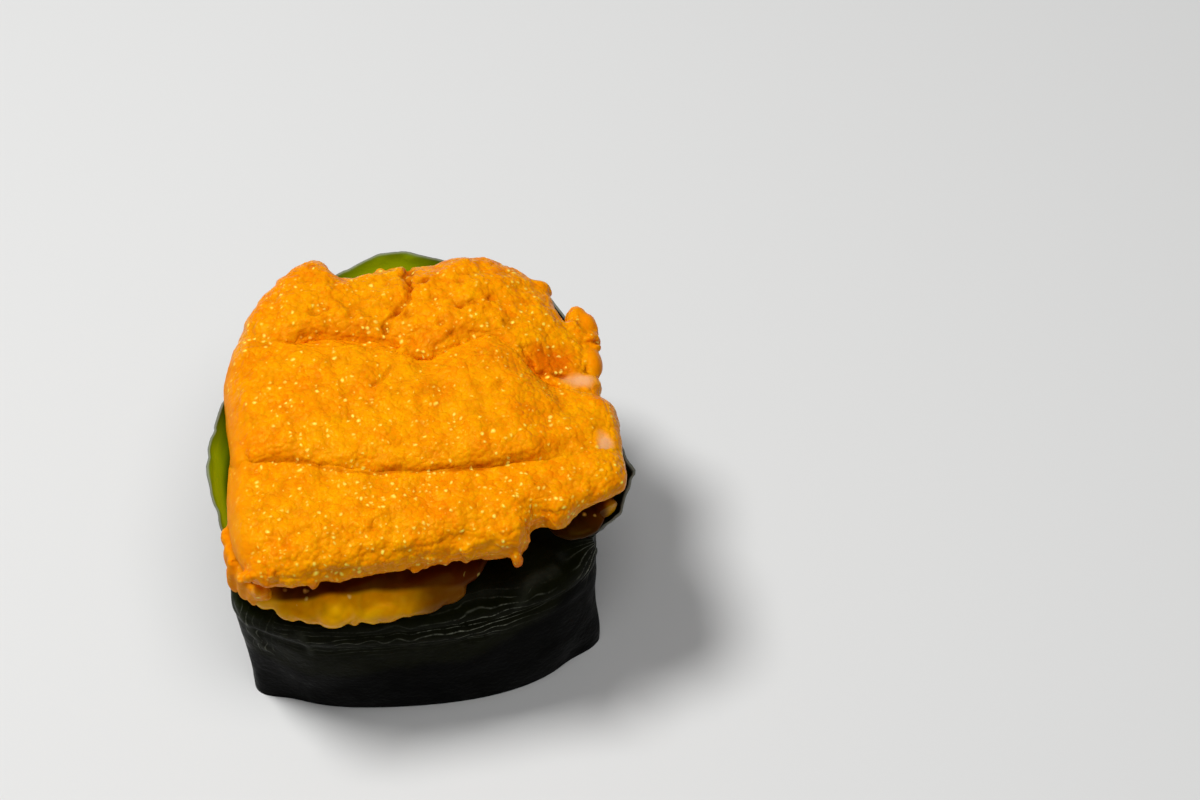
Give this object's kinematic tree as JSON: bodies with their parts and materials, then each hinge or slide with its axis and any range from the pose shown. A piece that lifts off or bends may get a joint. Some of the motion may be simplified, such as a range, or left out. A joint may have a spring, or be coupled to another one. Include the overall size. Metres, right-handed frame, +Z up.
{
  "type": "sea urchin gunkan sushi",
  "caption": "Block of rice wrapped in an upright nori band, topped with glossy orange tongues of sea urchin roe that overhang the rim.",
  "frame": {"origin": "centre of the flat patch under the rice, where the piece rests", "axes": "+Z up, +X along the roe tongues to the right as seen from the front, +Y to the back"},
  "size_m": [0.0499, 0.0491, 0.0343],
  "materials": {
    "rice": "moist cooked rice grains, satin",
    "nori": "thin wet seaweed sheet, fibrous, nearly black, green where light comes through",
    "lower_roe": "smooth wet roe, glossy, yellow orange",
    "roe": "wet granular roe, glossy, bright orange"
  },
  "bodies": {
    "root": {"rice": "rice", "nori": "nori", "uni_lower_left": "lower_roe", "uni_lower_right": "lower_roe", "uni_front": "roe", "uni_middle": "roe", "uni_back": "roe"}
  },
  "joints": []
}
